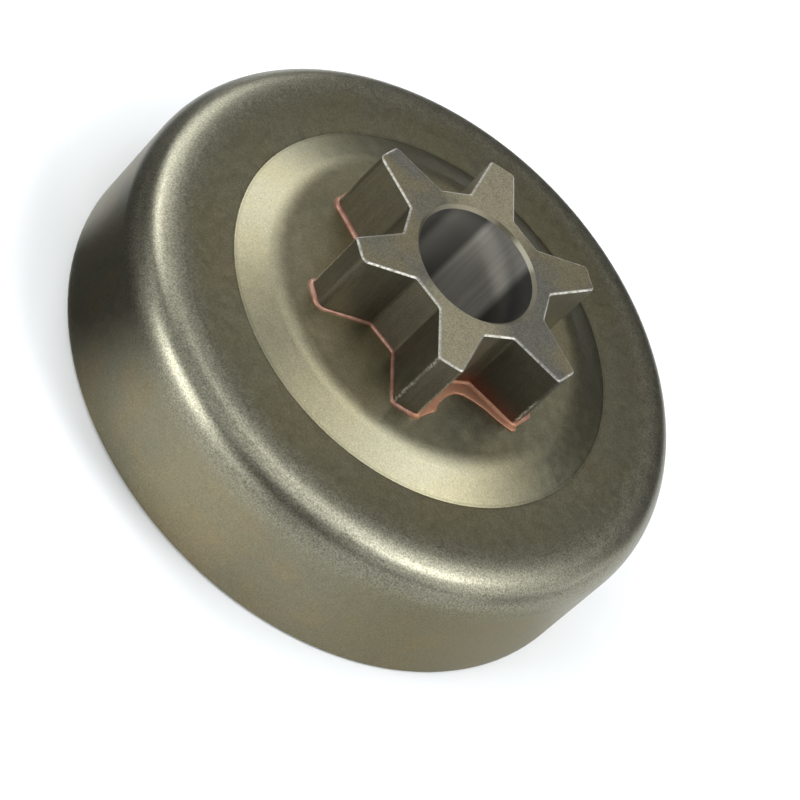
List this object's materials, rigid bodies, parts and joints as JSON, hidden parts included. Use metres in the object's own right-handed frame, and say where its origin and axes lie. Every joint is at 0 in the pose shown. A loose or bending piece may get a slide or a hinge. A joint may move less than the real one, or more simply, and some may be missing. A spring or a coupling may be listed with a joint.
{
  "type": "chainsaw clutch drum",
  "caption": "Drawn steel clutch drum cup with a toothed spur sprocket brazed in its crown, bored for a needle cage, driven by clutch shoes inside the wall.",
  "frame": {"origin": "centre of the rim plane, on the axis of the drum", "axes": "+Z along the axis from the open rim to the front of the sprocket, +X along one tooth"},
  "size_m": [0.072, 0.072, 0.0289],
  "materials": {
    "drum_steel": "dull olive grey, fine grain, brighter on the rounded shoulder",
    "sprocket_steel": "matte olive grey with bright worn edges and a ground bore",
    "braze_copper": "satin copper"
  },
  "bodies": {
    "root": {"drum_cup": "drum_steel", "drive_sprocket": "sprocket_steel", "braze_bead": "braze_copper", "inner_braze_ring": "braze_copper"}
  },
  "joints": []
}
